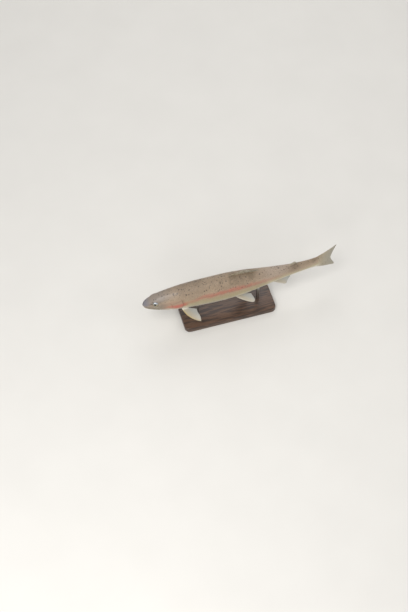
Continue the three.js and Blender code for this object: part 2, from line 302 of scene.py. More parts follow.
def head_relief(p, r):
    """How far the head's bones and folds stand out of its plain form, and how deep each groove is, for
    the painted shade in the grooves.
    """
    u, y, z = p[:, 0], np.abs(p[:, 1]), p[:, 2]
    relief, groove = np.zeros(len(p)), np.zeros(len(p))

    def cut(line, depth, width, where=1.0):
        nonlocal relief, groove
        relief = relief - depth * ridge(line, width) * where
        # each cut also keeps its groove's depth, which the skin's finish darkens as painted shade
        groove = np.maximum(groove, ridge(line, width * 1.1) * where * min(1, depth * 1.2))

    # the mouth: its line, the upper jaw's bone and the lips
    over = z - mouth_line(u)
    mouth = 1 - rise(32.5, 34.5, u)
    maxilla = (1 + 3.9 * rise(7, 22, u)) * np.sqrt(np.clip((34.8 - u) / 6, 0, 1))
    relief += 0.85 * rise(-0.1, 0.5, over) * step(over, maxilla) * (u < 34.8) * rise(1, 5, u)
    relief -= 0.6 * mouth * np.where(over < 0, np.exp(over / 4), 0)
    relief += 0.35 * ridge(over + 1.7, 0.9) * mouth
    relief += 0.4 * ridge(over - 1.4, 1.3) * (1 - rise(7, 11, u))
    cut(over, 0.95, 0.42, mouth)
    cut(over - maxilla - 0.35, 0.34, 0.4, rise(8, 13, u) * (u < 34.6))
    cut(over - 0.52 * maxilla, 0.22, 0.3, rise(18, 21, u) * (1 - rise(32, 34, u)))
    cut(z + 8.6 + 0.3 * u, 0.3, 0.5, rise(10, 16, u) * (1 - rise(36, 40, u)))

    # the nostrils, with a flap of skin between the two
    for at, up, depth, width in NOSTRILS:
        cut(np.hypot(u - at, z - up), depth, width)
    relief += 0.55 * ridge(np.hypot(u - 14.5, z - 7.9), 0.6)
    relief += 0.3 * ridge(np.hypot(u - 14.4, z - 7.8) - 2.6, 0.7)

    # the cheek's curved seam, the plates of the gill cover and the rays under it
    away = np.hypot(u - GILL_CENTRE[0], z - GILL_CENTRE[1])
    angle = np.degrees(np.arctan2(z - GILL_CENTRE[1], u - GILL_CENTRE[0]))
    cheek = rise(-92, -80, angle) * (1 - rise(30, 44, angle))
    relief += 0.6 * rise(14, 20, away) * step(away, 21.3, 0.9) * cheek
    cut(away - 22, 0.45, 0.55, cheek)
    cut(away - 16.6, 0.16, 0.5, cheek * (1 - rise(2, 12, angle)))
    opercle = rise(22.5, 30, away) * (1 - rise(38, 45.5, away))
    relief += 0.55 * opercle * rise(-88, -76, angle) * (1 - rise(15, 21.5, angle))
    turn_mm = away * math.pi / 180
    plates = rise(22, 24.5, away) * (1 - rise(43, 45.4, away))
    cut((angle - 21.5) * turn_mm, 0.4, 0.8, plates)
    subopercle = (angle + 24 + 0.5 * (away - 22)) * turn_mm
    cut(subopercle, 0.42, 0.7, plates)
    relief += 0.25 * rise(0.2, 1.2, subopercle) * (1 - rise(3, 9, subopercle)) * plates
    cut((angle + 62 - 0.2 * (away - 22)) * turn_mm, 0.35, 0.65, plates)
    bone = np.sin(np.radians(angle) * 34 + 0.6 * np.sin(away * 0.5))
    relief += 0.045 * bone * rise(24, 30, away) * (1 - rise(40, 45, away)) * cheek
    low = (1 - rise(-68, -60, angle)) * rise(-112, -100, angle)
    under_cover = rise(22, 25, away) * (1 - rise(43, 45.4, away)) * low
    rays = np.sin(math.tau * (away - 24) / 3.2) * under_cover
    relief += 0.28 * rays
    # the troughs between these rays are darkened too, as painted shade
    groove = np.maximum(groove, 0.3 * np.clip(-rays, 0, 1))

    # the bones round the eye, its brow, and the furrows of the crown
    eye = np.hypot(u - EYE["at"], z - EYE["up"])
    turn = np.degrees(np.arctan2(z - EYE["up"], u - EYE["at"]))
    under = rise(-150, -130, turn) * (1 - rise(28, 48, turn))
    relief += 0.3 * rise(8.6, 9.6, eye) * (1 - rise(11.6, 12.4, eye)) * under
    cut(eye - 12.6, 0.3, 0.5, under)
    for seam_turn in (-112, -72, -34, 2):
        spoke = (turn - seam_turn) * eye * math.pi / 180
        cut(spoke, 0.24, 0.42, rise(8.4, 9.6, eye) * (1 - rise(12, 13, eye)))
    relief += 0.55 * ridge(np.hypot((u - 26) / 10, (z - 17) / 2.4), 1)
    relief -= 0.4 * ridge(y, 5) * rise(12, 22, u) * (1 - rise(34, 50, u)) * (z > 0)
    cut(y - 4.5 - 0.1 * (u - 52), 0.14, 0.5, rise(40, 46, u) * (1 - rise(62, 68, u)) * (z > 18))

    # the gill opening: the cover's edge stands over the skin behind it
    open_gill = 1 - rise(11, 21, z)
    relief += 0.35 * ridge(r - GILL_END + 1.2, 1.5) * (r < GILL_END + 0.03) * open_gill
    relief -= COVER_STEP * (r > GILL_END + 0.03) * (1 - rise(0.2, 7, r - GILL_END)) * open_gill
    # painted shadow: the slit behind the cover's edge is darkened in the skin's finish
    groove = np.maximum(groove, ridge(r - GILL_END - 0.2, 0.7) * open_gill)

    # the folds under the throat and between the jaw's bones
    below = z < -6
    relief -= 1.5 * ridge(y, 1.9) * rise(42, 52, u) * (1 - rise(74, 86, u)) * below
    relief -= 0.7 * ridge(y, 1.3) * rise(5, 11, u) * (1 - rise(37, 43, u)) * below
    cut(u - 41.5 + 0.3 * y, 0.6, 0.8, below * (1 - rise(11, 15, y)))
    return relief, groove


def body_skin():
    """The body as a sphere whose rings are moved to its sections, bent to the lines of the head."""
    rings = ring_places()
    deselect()
    bpy.ops.mesh.primitive_uv_sphere_add(segments=COLUMNS, ring_count=len(rings) + 1, radius=1)
    piece = added("trout_skin")
    raw = places(piece)
    ring = np.rint(np.arccos(np.clip(raw[:, 2], -1, 1)) / math.pi * (len(rings) + 1)).astype(int)
    column = np.rint(np.arctan2(raw[:, 1], raw[:, 0]) / math.tau * COLUMNS).astype(int) % COLUMNS
    side = np.where(column > COLUMNS // 2, -1, 1)
    q = np.minimum(column, COLUMNS - column) / (COLUMNS // 2)
    r = np.concatenate([[0], rings, [BODY_LENGTH]])[ring]
    pole = (ring == 0) | (ring == len(rings) + 1)

    # one column is pulled onto the mouth's line, and its neighbours follow
    mouth_q = MOUTH_COLUMN / (COLUMNS // 2)
    fine = np.linspace(0.5, 60, 120)
    shares = np.linspace(0, 1, 101)
    grid, _ = section(np.repeat(fine, len(shares)), np.tile(shares, len(fine)))
    heights = grid[:, 2].reshape(len(fine), len(shares))
    at_mouth = [np.interp(mouth_line(x), row, shares) for x, row in zip(fine, heights)]
    pull = (np.interp(r, fine, at_mouth) - mouth_q) * (1 - rise(34, 58, r))
    hat = rise(0, mouth_q, q) * (1 - rise(mouth_q, 1, q))
    share = q + pull * hat

    # rings lean to the gill opening; a point's lean depends on its height, and its height on its lean
    gill = rise(34, GILL_END, r) * (1 - rise(GILL_END, 126, r))
    p, _ = section(r, share)
    for _ in range(3):
        p, _ = section(r - (GILL_END - gill_line(p[:, 2])) * gill, share)
    p[:, 1] *= side
    p[pole, 1] = 0
    p[pole, 2] = np.where(ring[pole] == 0, -1, 0)
    place(piece, p)
    face_outwards(piece)
    relief, groove = head_relief(p, r)
    shaped = (~pole) * (r < 130)
    p = sink_socket(p + normals(piece) * (relief * shaped)[:, None])
    place(piece, p)
    # how deep the grooves are, for the skin's finish to paint shade into them
    store(piece, "groove", groove * shaped)
    smooth(piece)
    return piece


# ---- fins ----
ROOT_DEPTH = 3  # how far under the skin a fin is rooted
COLUMNS_PER_RAY = 8


def back_root(u):
    return (u, 0, back(u) - ROOT_DEPTH)


def belly_root(u):
    return (u, 0, belly(u) + ROOT_DEPTH)


def rounded(s):
    """A fin's edge with its leading corner rounded off."""
    return 1 - 0.16 * (1 - s) ** 7


# A fin's root runs from `lead` to `trail`, its outer rays are `first` and `last`, and `edge` says how
# much of its length a ray keeps at share s of the way between them. `bulge` bows the leading edge.
FINS = dict(
    dorsal_fin=dict(
        lead=back_root(DORSAL_ROOT[0]), trail=back_root(DORSAL_ROOT[1]),
        first=(42, -5, 17), last=(19, -2, 4),
        edge=lambda s: rounded(s) - 0.1 * np.sin(math.pi * s), rays=12, rows=26, spotted=1, wave=0.9),
    adipose_fin=dict(
        lead=back_root(ADIPOSE_ROOT[0]), trail=back_root(ADIPOSE_ROOT[1]),
        first=(19, 0, 12), last=(12, 0, 4),
        edge=lambda s: 1 - 0.2 * (1 - s) ** 3, rays=4, rows=20, spotted=1, wave=0),
    anal_fin=dict(
        lead=belly_root(ANAL_ROOT[0]), trail=belly_root(ANAL_ROOT[1]),
        first=(45, -6, -24), last=(18, 0, -8),
        edge=lambda s: rounded(s) - 0.08 * np.sin(math.pi * s), rays=11, rows=26, spotted=0, wave=0.8),
    caudal_fin=dict(
        lead=(392, 0, 15.6), trail=(392, 0, -15), first=(58, 0, 21), last=(57, 0, -21.6),
        edge=lambda s: (1 - 0.27 * (1 - np.abs(2 * s - 1) ** 1.6) - 0.06 * np.abs(2 * s - 1) ** 14),
        rays=19, rows=36, spotted=1, wave=0.7),
    pectoral_fin=dict(
        lead=(83.5, 15, -20), trail=(96, 12, -27), first=(38, 37, -18), last=(20, 5, -5),
        bulge=(-5, 2, -3.5), edge=lambda s: 1 - 0.1 * (1 - s) ** 6,
        rays=13, rows=30, spotted=0, wave=0.8),
    pelvic_fin=dict(
        lead=(203, 10, -26), trail=(215, 6, -28), first=(43, 22, -17), last=(28, 4, -6),
        bulge=(-1, 1.5, -1), edge=lambda s: rounded(s) + 0.06 * np.sin(math.pi * s),
        rays=9, rows=26, spotted=0, wave=0.6),
)


def ray_ridge(s, t, rays):
    """1 on a ray and 0 between two; each ray forks twice on its way out."""
    x = s * (rays - 1) * math.tau
    first, second = rise(0.3, 0.46, t), rise(0.64, 0.8, t)
    single = 0.5 + 0.5 * np.cos(x)
    double = 0.5 - 0.5 * np.cos(2 * x)
    fourfold = 0.5 - 0.5 * np.cos(4 * x)
    return (single * (1 - first) + double * first) * (1 - second) + fourfold * second


def fin(name, side=1, **f):
    """A fin as a grid of rays given its two faces by extrusion, standing in the body's surface."""
    deselect()
    columns = (f["rays"] - 1) * COLUMNS_PER_RAY
    bpy.ops.mesh.primitive_grid_add(x_subdivisions=columns, y_subdivisions=f["rows"], size=1)
    piece = added(name)
    edit(piece, bpy.ops.mesh.extrude_region_move, TRANSFORM_OT_translate={"value": (0, 0, 1)})
    raw = places(piece)
    s, t, face = raw[:, 0] + 0.5, raw[:, 1] + 0.5, np.where(raw[:, 2] > 0.5, 1, -1)
    lead, trail, first, last = (np.array(f[k], float) for k in ("lead", "trail", "first", "last"))
    across = np.cross(first, trail - lead)
    across /= np.linalg.norm(across)
    fleshy = name == "adipose_fin"
    ridges = ray_ridge(s, t, f["rays"]) * (not fleshy)
    full = first + (last - first) * s[:, None]
    keeps = f["edge"](s)
    out = t * (np.linalg.norm(full, axis=1) * keeps) - ROOT_DEPTH
    reach = keeps * (1 - 0.008 * (1 - ridges) * rise(0.85, 1, t) * (not fleshy))
    ray = full * (reach * t)[:, None]
    rim = np.minimum(np.minimum(s, 1 - s) * 12, (1 - t) * 8)
    half = 0.2 + 0.2 * ridges * (1 - 0.6 * t) + 0.35 * (1 - t)
    flare = 1.3 * np.exp(-np.maximum(out, -1) / 2.2)
    if name == "caudal_fin":
        flare = 2.2 * np.exp(-np.maximum(out, 0) / 9)
        half = half * 0.9
    if fleshy:
        half = 0.3 + 0.9 * (1 - t)
    half = half * (0.45 + 0.55 * rise(0, 1, rim)) + flare * np.sqrt(1 - 0.98 * (2 * s - 1) ** 2)
    wave = f["wave"] * np.sin(math.tau * (1.3 * s + 0.15)) * t * t
    bulge = np.array(f.get("bulge", (0, 0, 0)), float)
    p = lead + (trail - lead) * s[:, None] + ray + across * (face * half + wave)[:, None]
    p += bulge * (4 * t * (1 - t) * (1 - s))[:, None]
    p[:, 1] *= side
    place(piece, p)
    face_outwards(piece)
    amount = rise(0, 22 if name == "caudal_fin" else 5, out)
    store(piece, "fin", np.stack([s, t, amount], 1))
    store(piece, "spotted", np.full(len(s), float(f["spotted"])))
    store(piece, "ray", ridges * amount)
    store(piece, "groove", np.zeros(len(s)))
    smooth(piece)
    return piece


def join_skin(body, fins):
    """Unites the fins with the body into one closed skin."""
    none = np.zeros(len(body.data.vertices))
    store(body, "fin", np.stack([none, none, none], 1))
    store(body, "spotted", none)
    store(body, "ray", none)
    for piece in fins:
        apply_modifier(body, "BOOLEAN", operation="UNION", solver="MANIFOLD", object=piece)
        bpy.data.objects.remove(piece)
    return body


def make_skin():
    body = body_skin()
    fins = [fin(n, **FINS[n]) for n in ("dorsal_fin", "adipose_fin", "anal_fin", "caudal_fin")]
    fins += [fin(n, side, **FINS[n]) for n in ("pectoral_fin", "pelvic_fin") for side in (-1, 1)]
    skin = join_skin(body, fins)
    p = places(skin)
    store_lie(skin, p)
    place(skin, bend(p))
    smooth(skin)
    return skin


# ---- scales ----
scale_width = smooth_curve((60, 150, 220, 300, 400), (2.2, 2.6, 2.5, 2, 1.5))
SCALE_RIM = np.array([(-0.5, -0.3), (-0.5, 0.3), (-0.1, 0.5), (0.26, 0.5), (0.5, 0.34), (0.62, 0),
                      (0.5, -0.34), (0.26, -0.5), (-0.1, -0.5)])
SCALE_REACH = SCALE_RIM.max(0)
SCALE_MIDDLE = (0.14, 0)
SCALE_THICKNESS = 0.05
SCALE_TILT = 0.1
SCALE_SINK = 0.03
SCALE_DOME = 0.02
SCALE_LIFT = 0.04  # how much the lift of the hind edges differs
ROW_PITCH = 0.54  # of a scale's width, from one row to the next
SCALE_PITCH = 0.92  # of a scale's width, from one scale to the next in its row
ROWS_EACH_WAY = 44  # rows above and below the lateral line, more than any place needs
SCALES_FROM, SCALES_TO = 60, 405
SCALE_SEED = 7
PATCH = 0.003  # width of a scale's own patch on the map

# Where the ridge of back (1) or belly (0) is bare for a fin's root: from, to, which ridge, and how far
# down the half girth.
BARE_RIDGES = (
    (DORSAL_ROOT[0], DORSAL_ROOT[1], 1, 0.015),
    (ADIPOSE_ROOT[0] - 1, ADIPOSE_ROOT[1] + 2, 1, 0.03),
    (ANAL_ROOT[0] - 1, ANAL_ROOT[1], 0, 0.025),
)


class BodySurface:
    """The plain skin of one side, read at any distance and share of the half girth."""

    def __init__(self):
        self.u = np.arange(SCALES_FROM, SCALES_TO + 2.0)
        self.shares = np.linspace(0, 1, 141)
        count = len(self.shares)
        p, girth = section(np.repeat(self.u, count), np.tile(self.shares, len(self.u)))
        self.p = p.reshape(-1, count, 3)
        self.girth = girth.reshape(-1, count)[:, 0]
        out = np.cross(np.gradient(self.p, axis=1), np.gradient(self.p, axis=0))
        self.out = out / np.linalg.norm(out, axis=2)[:, :, None]
        lines = [np.interp(lateral_line(u), row[:, 2], self.shares) for u, row in zip(self.u, self.p)]
        self.line = np.array(lines)

    def half_girth(self, u):
        return np.interp(u, self.u, self.girth)

    def share(self, u, offset):
        """The share of the half girth at an offset above the lateral line."""
        return np.interp(u, self.u, self.line) + offset / self.half_girth(u)

    def read(self, grid, u, share):
        """A grid's value between its points."""
        i = np.clip(u - self.u[0], 0, len(self.u) - 1.001)
        j = np.clip(share, 0, 1) * (len(self.shares) - 1.001)
        a, b = np.floor(i).astype(int), np.floor(j).astype(int)
        s, t = (i - a)[:, None], (j - b)[:, None]
        low = grid[a, b] * (1 - t) + grid[a, b + 1] * t
        high = grid[a + 1, b] * (1 - t) + grid[a + 1, b + 1] * t
        return low * (1 - s) + high * s


def near_root(p, fin_name, reach):
    """Whether places lie within reach of a paired fin's root, seen from the side."""
    lead, trail = (np.array(FINS[fin_name][end], float)[[0, 2]] for end in ("lead", "trail"))
    q = p[:, [0, 2]]
    along = np.clip((q - lead) @ (trail - lead) / ((trail - lead) @ (trail - lead)), 0, 1)
    return np.linalg.norm(q - lead - along[:, None] * (trail - lead), axis=1) < reach


def bare_line(p):
    """How far back the bare head reaches: to the gill opening, and in a shallow arc over the nape."""
    nape = 2.4 - 7 * ridge(p[:, 1], 9) + 0.8 * np.sin(1.9 * p[:, 1])
    return gill_line(p[:, 2]) - 0.9 + nape * rise(11, 21, p[:, 2])


def scale_roots(surface, side):
    """Where the scales of one side stand: distance, offset from the lateral line and place."""
    steps = [float(SCALES_FROM)]
    while steps[-1] < SCALES_TO - 2:
        steps.append(steps[-1] + SCALE_PITCH / 2 * scale_width(steps[-1]))
    rows = range(-ROWS_EACH_WAY, ROWS_EACH_WAY + 1)
    u = np.concatenate([steps[row % 2::2] for row in rows])
    row = np.concatenate([np.full(len(steps[k % 2::2]), k) for k in rows])
    offset = row * ROW_PITCH * scale_width(u)
    share = surface.share(u, offset)
    p = surface.read(surface.p, u, share)
    tail_root = BODY_LENGTH + 1 - 0.02 * p[:, 2] ** 2
    to_ridge = np.minimum(share, 1 - share) * surface.half_girth(u)
    kept = (to_ridge > (0 if side < 0 else ROW_PITCH / 2) * scale_width(u)) & (u < tail_root)
    kept &= u > bare_line(p)
    kept &= ~near_root(p, "pectoral_fin", 2.4) & ~near_root(p, "pelvic_fin", 2)
    for at in ROD_STATIONS.values():
        kept &= (np.hypot(u - at, p[:, 1]) > ROD_RADIUS + 0.9) | (p[:, 2] > 0)
    for low, high, end, reach in BARE_RIDGES:
        kept &= ~((u > low) & (u < high) & (np.abs(share - end) < reach))
    return u[kept], offset[kept], p[kept]


def scale_coat(name, side, rows_kept, surface, roots):
    """One joined mesh of scales, each a thin domed plate whose hind edge lies over the next."""
    u, offset, p = roots
    kept = rows_kept(offset)
    u, offset, p = u[kept], offset[kept], p[kept]
    count, rim = len(u), len(SCALE_RIM)
    plate = np.vstack([SCALE_RIM, [SCALE_MIDDLE], SCALE_RIM])
    width = scale_width(u)[:, None]
    a, b = plate[:, 0] * width, plate[:, 1] * width
    chance = np.random.default_rng(SCALE_SEED + side).random(count)
    corner_number = np.arange(len(plate))
    lift = SCALE_TILT * (plate[:, 0] + 0.5) - SCALE_SINK + SCALE_DOME * (corner_number == rim)
    lift = lift - SCALE_THICKNESS * (corner_number > rim)
    lift = lift + SCALE_LIFT * (chance[:, None] - 0.5) * (plate[:, 0] + 0.5)
    at = (u[:, None] + a).ravel()
    share = surface.share(at, (offset[:, None] + b).ravel())
    crossed = (share < 0) | (share > 1)
    share = np.where(share > 1, 2 - share, np.abs(share))
    skin = surface.read(surface.p, at, share)
    out = surface.read(surface.out, at, share)
    under_cover = 1 - rise(11, 21, skin[:, 2])
    dip = COVER_STEP * (1 - rise(0.2, 7, at - gill_line(skin[:, 2]))) * under_cover
    dip += 0.16 * (1 - rise(-0.5, 10, at - bare_line(skin))) * (1 - under_cover)
    points = skin + out * (lift.ravel() - dip)[:, None]
    points[:, 1] *= np.where(crossed, -side, side)

    start = np.arange(count)[:, None] * len(plate)
    ring, following = np.arange(rim), (np.arange(rim) + 1) % rim
    top = np.stack([ring, following, np.full(rim, rim)], 1)
    wall = np.stack([ring, ring + rim + 1, following + rim + 1, following], 1)
    under = (np.arange(rim) + rim + 1)[::-1]
    faces = []
    for shape in (*top, *wall, under):
        shape = shape[::-1] if side < 0 else shape
        faces += (start + shape).tolist()
    mesh = bpy.data.meshes.new(name)
    mesh.from_pydata(np.zeros_like(points), [], faces)
    piece = bpy.data.objects.new(name, mesh)
    bpy.context.collection.objects.link(piece)
    store_lie(piece, points)
    on_scale = np.tile(plate / SCALE_REACH, (count, 1))
    store(piece, "scale", np.column_stack([on_scale, np.repeat(chance, len(plate))]))
    store(piece, "pore", np.repeat(np.abs(offset) < 0.1, len(plate)).astype(float))
    place(piece, bend(points))
    mesh.polygons.foreach_set("use_smooth", np.repeat([True] * rim + [False] * (rim + 1), count))

    # each scale's own patch of the map, by distance along the body and height up its side
    height = surface.share(u, offset)
    along = (u - SCALES_FROM) / (SCALES_TO - SCALES_FROM)
    up = (height - height.min()) / (height.max() - height.min())
    patches = np.repeat(0.01 + 0.98 * np.column_stack([along, up]), len(plate), 0)
    patches += np.tile(plate * PATCH, (count, 1))
    corner = np.empty(len(mesh.loops), int)
    mesh.loops.foreach_get("vertex_index", corner)
    layer = mesh.uv_layers.new(name="OFBake")
    layer.uv.foreach_set("vector", patches[corner].ravel())
    mesh.update()
    return piece


def make_scales():
    surface = BodySurface()
    coats = []
    for side_name, side in (("left", -1), ("right", 1)):
        roots = scale_roots(surface, side)
        coats.append(scale_coat(f"scales_back_{side_name}", side, lambda d: d >= 0, surface, roots))
        coats.append(scale_coat(f"scales_belly_{side_name}", side, lambda d: d < 0, surface, roots))
    return coats


# ---- eyes ----
def make_eye(name, side):
    """A flattened ball set in its socket, each vertex keeping its place on the ball."""
    deselect()
    bpy.ops.mesh.primitive_uv_sphere_add(segments=48, ring_count=32, radius=1)
    piece = added(name)
    local = places(piece) * (EYE["radius"], EYE["radius"], EYE["depth"])
    middle, tailward, upward, out = eye_frame(side)
    store(piece, "iris", local)
    p = middle + local[:, :1] * tailward + local[:, 1:2] * upward + local[:, 2:] * out
    place(piece, bend(p))
    face_outwards(piece)
    smooth(piece)
    return piece


# ---- the stand ----
def bevel_edges(piece, wanted, width, segments):
    """Rounds the edges whose two ends are wanted."""
    pick_only(piece)
    bpy.ops.object.mode_set(mode="EDIT")
    bpy.ops.mesh.select_mode(type="EDGE")
    bpy.ops.mesh.select_all(action="DESELECT")
    bpy.ops.object.mode_set(mode="OBJECT")
    for edge in piece.data.edges:
        ends = [piece.data.vertices[v].co for v in edge.vertices]
        edge.select = wanted(*ends)
    bpy.ops.object.mode_set(mode="EDIT")
    bpy.ops.mesh.bevel(offset=width, segments=segments, affect="EDGES")
    bpy.ops.object.mode_set(mode="OBJECT")


def shade_rounded(piece):
    """Shades the roundings smooth and leaves the flat faces flat."""
    pick_only(piece)
    bpy.ops.object.shade_smooth_by_angle(angle=math.radians(35))


def stand_board():
    """The flat base: a board with rounded corners and eased edges."""
    length, width, height = (BASE[k] * MM for k in ("length", "width", "height"))
    deselect()
    bpy.ops.mesh.primitive_cube_add(size=1, location=(0, 0, height / 2), scale=(length, width, height))
    piece = added("stand_board")
    bpy.ops.object.transform_apply(location=True, rotation=True, scale=True)
    bevel_edges(piece, lambda a, b: abs(a.z - b.z) > height / 2, BASE["corner"] * MM, 10)
    bevel_edges(piece, lambda a, b: abs(a.z - b.z) < 1e-5, BASE["bevel"] * MM, 4)
    shade_rounded(piece)
    return piece


def stand_post(name, at):
    """A straight rod from its hole in the board up into the belly."""
    low = (BASE["height"] - ROD_IN_BASE) * MM
    high = (AXIS_HEIGHT + belly(at) + ROD_IN_BODY) * MM
    x, y, _ = bend(np.array([(at, 0, 0)], float))[0]
    deselect()
    bpy.ops.mesh.primitive_cylinder_add(
        vertices=48, radius=ROD_RADIUS * MM, depth=high - low, location=(x, y, (low + high) / 2))
    piece = added(name)
    bpy.ops.object.transform_apply(location=True, rotation=True, scale=True)
    bevel_edges(piece, lambda a, b: abs(a.z - b.z) < 1e-5, 0.4 * MM, 2)
    shade_rounded(piece)
    return piece


# ---- nodes and colours ----
class Wiring:
    """Adds nodes to a material or group and joins them up."""

    def __init__(self, tree):
        self.tree = tree

    def node(self, kind, settings=(), **inputs):
        made = self.tree.nodes.new("ShaderNode" + kind)
        for key, value in dict(settings).items():
            setattr(made, key, value)
        for key, value in inputs.items():
            self.put(made.inputs[key.replace("_", " ")], value)
        return made

    def put(self, socket, value):
        if isinstance(value, bpy.types.NodeSocket):
            self.tree.links.new(value, socket)
        else:
            socket.default_value = value

    def math(self, operation, a, b=0.0):
        made = self.node("Math", dict(operation=operation))
        self.put(made.inputs[0], a)
        self.put(made.inputs[1], b)
        return made.outputs[0]

    def times(self, product, *factors):
        for factor in factors:
            product = self.math("MULTIPLY", product, factor)
        return product

    def rest(self, share):
        """What is left of 1."""
        return self.math("SUBTRACT", 1.0, share)

    def distance(self, across, up):
        """How far a place is from the middle."""
        return self.math("SQRT", self.math("ADD", self.times(across, across), self.times(up, up)))

    def span(self, value, low, high, out_low=0.0, out_high=1.0):
        """A value's smooth way from one end of a span to the other."""
        made = self.node("MapRange", dict(interpolation_type="SMOOTHSTEP"))
        for socket, given in zip(made.inputs, (value, low, high, out_low, out_high)):
            self.put(socket, given)
        return made.outputs[0]

    def mix(self, factor, a, b):
        made = self.node("Mix", dict(data_type="RGBA"))
        for socket, given in ((made.inputs[0], factor), (made.inputs[6], a), (made.inputs[7], b)):
            self.put(socket, given)
        return made.outputs[2]

    def ramp(self, value, *stops):
        made = self.node("ValToRGB", Fac=value)
        made.color_ramp.interpolation = "B_SPLINE"
        items = made.color_ramp.elements
        while len(items) < len(stops):
            items.new(0.5)
        for item, (at, colour) in zip(items, stops):
            item.position, item.color = at, colour
        return made.outputs["Color"]

    def noise(self, vector, scale, detail=3.0, roughness=0.5):
        made = self.node("TexNoise", Vector=vector, Scale=scale, Detail=detail, Roughness=roughness)
        return made.outputs["Fac"]

    def stretched(self, scale):
        """The piece's own coordinates, stretched."""
        at = self.node("TexCoord").outputs["Object"]
        return self.node("Mapping", Vector=at, Scale=scale).outputs[0]

    def split(self, vector):
        return self.node("SeparateXYZ", Vector=vector).outputs

    def attribute(self, name, output="Vector"):
        made = self.node("Attribute")
        made.attribute_name = name
        return made.outputs[output]


def srgb(r, g, b):
    """A colour given as it shows on screen, from 0 to 255, as the linear one a shader takes."""
    linear = [c / 255 / 12.92 if c <= 10 else ((c / 255 + 0.055) / 1.055) ** 2.4 for c in (r, g, b)]
    return (*linear, 1)


BELLY_CREAM = srgb(230, 225, 214)
BELLY_EDGE = srgb(226, 218, 200)
LOWER_FLANK = srgb(191, 179, 136)
FLANK = srgb(196, 176, 150)
HIND_FLANK = srgb(202, 184, 170)
UPPER_FLANK = srgb(186, 163, 138)
BACK = srgb(170, 148, 124)
RIDGE = srgb(150, 131, 109)
MOTTLE = srgb(98, 82, 60)
DUSK = srgb(96, 86, 78)
CROWN_GREY = srgb(128, 119, 112)
SNOUT_GREY = srgb(108, 114, 134)
CHEEK_SILVER = srgb(156, 124, 106)
FACE_GREY = srgb(126, 116, 106)
JAW_CREAM = srgb(176, 162, 126)
STRIPE_ROSE = srgb(198, 92, 80)
SPOT_BROWN = srgb(52, 42, 32)
FIN_CREAM = srgb(180, 171, 152)
FIN_AMBER = srgb(200, 176, 116)
FIN_TIP = srgb(206, 198, 182)
FIN_HAZE = srgb(166, 174, 180)
FIN_OLIVE = srgb(172, 158, 132)
FIN_OLIVE_TIP = srgb(163, 158, 143)
FIN_WEB = srgb(142, 132, 110)
GROOVE_SHADE_BROWN = srgb(70, 56, 46)
# painted shade in the head's grooves and in the gill slit
IRIS_DARK = srgb(84, 74, 54)
IRIS_PEWTER = srgb(146, 132, 100)
IRIS_LIGHT = srgb(196, 188, 162)
IRIS_FLECK = srgb(52, 46, 36)
# painted reflection of the sky on the eye's upper half
IRIS_PAINTED_REFLECTION = srgb(186, 196, 208)
PUPIL_RING = srgb(200, 190, 160)
PUPIL_BLACK = srgb(5, 6, 9)
EYE_RIM = srgb(36, 34, 32)
WOOD_DARK = srgb(48, 34, 26)
WOOD_BROWN = srgb(74, 53, 40)
WOOD_LIGHT = srgb(98, 72, 54)
STEEL_DARK = srgb(168, 167, 163)
STEEL_LIGHT = srgb(198, 197, 193)
FLOOR_GREY = srgb(214, 211, 205)
FLOOR_PALE = srgb(220, 217, 211)
HORIZON_GREY = srgb(200, 199, 197)
SKY_WHITE = srgb(250, 251, 253)


# ---- finishes of the fish ----
DORSAL_SHADOW_MIDDLES = (199 * MM, 241 * MM)  # middles of the two patches of painted shadow beside the dorsal fin
PUPIL_AHEAD = 0.5  # the pupil sits this far in front of the eyeball's middle


def new_group(name, inputs, outputs):
    """A shader node group with its sockets, its wiring, what it is given and what it puts out."""
    group = bpy.data.node_groups.new(name, "ShaderNodeTree")
    for direction, sockets in (("INPUT", inputs), ("OUTPUT", outputs)):
        for label, kind in sockets.items():
            group.interface.new_socket(label, in_out=direction, socket_type="NodeSocket" + kind)
    wires = Wiring(group)
    given = group.nodes.new("NodeGroupInput").outputs
    return group, wires, given, group.nodes.new("NodeGroupOutput").inputs


